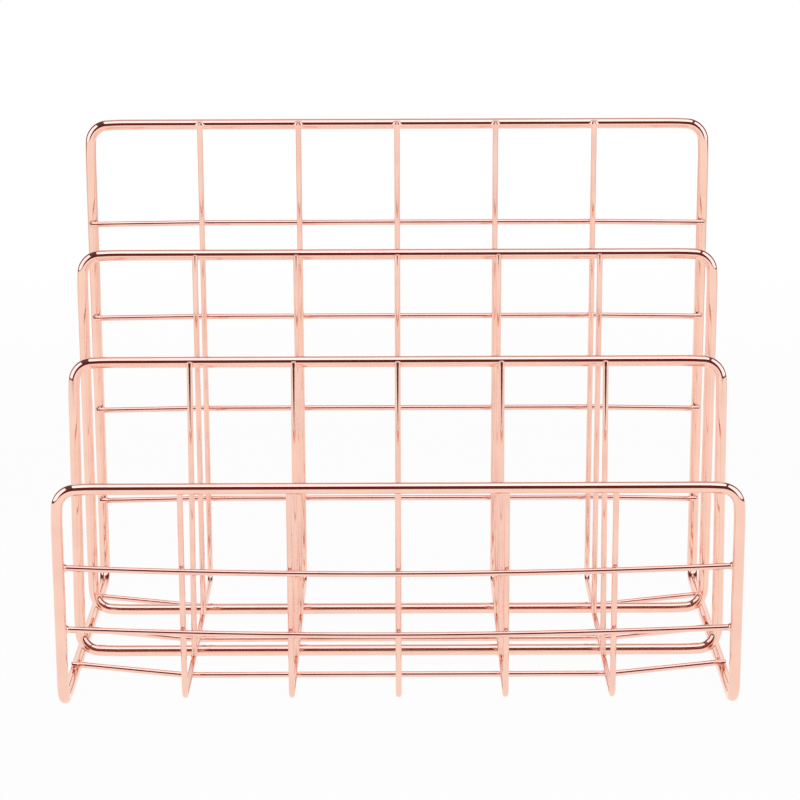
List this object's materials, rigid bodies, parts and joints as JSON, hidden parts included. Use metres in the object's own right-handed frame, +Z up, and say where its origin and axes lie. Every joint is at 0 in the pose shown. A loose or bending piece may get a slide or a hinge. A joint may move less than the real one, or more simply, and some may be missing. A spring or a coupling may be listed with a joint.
{
  "type": "desktop bookshelf",
  "caption": "Open desktop bookshelf of bright rose-gold plated wire: a low front, a tall back and two dividers between them that rise in steps and part its slots for books and papers.",
  "frame": {"origin": "on the floor, under the middle of the outer frame", "axes": "+X to the right along the front bar, +Y from the low front to the tall back, +Z up"},
  "size_m": [0.2848, 0.1648, 0.2234],
  "materials": {
    "rod_plating": "bright rose-gold plating on thick steel rod",
    "wire_plating": "bright rose-gold plating on thin steel wire"
  },
  "bodies": {
    "root": {"outer_frame": "rod_plating", "u_wire_1": "wire_plating", "u_wire_2": "wire_plating", "u_wire_3": "wire_plating", "u_wire_4": "wire_plating", "u_wire_5": "wire_plating", "front_wire_1": "wire_plating", "front_wire_2": "wire_plating", "base_wire_1": "wire_plating", "base_wire_2": "wire_plating", "base_wire_3": "wire_plating", "back_wire_1": "wire_plating", "back_wire_2": "wire_plating", "back_wire_3": "wire_plating", "back_wire_4": "wire_plating", "front_divider_frame": "rod_plating", "front_divider_wire_1": "wire_plating", "front_divider_wire_2": "wire_plating", "front_divider_wire_3": "wire_plating", "front_divider_wire_4": "wire_plating", "front_divider_wire_5": "wire_plating", "back_divider_frame": "rod_plating", "back_divider_wire_1": "wire_plating", "back_divider_wire_2": "wire_plating", "back_divider_wire_3": "wire_plating", "back_divider_wire_4": "wire_plating", "back_divider_wire_5": "wire_plating"}
  },
  "joints": []
}
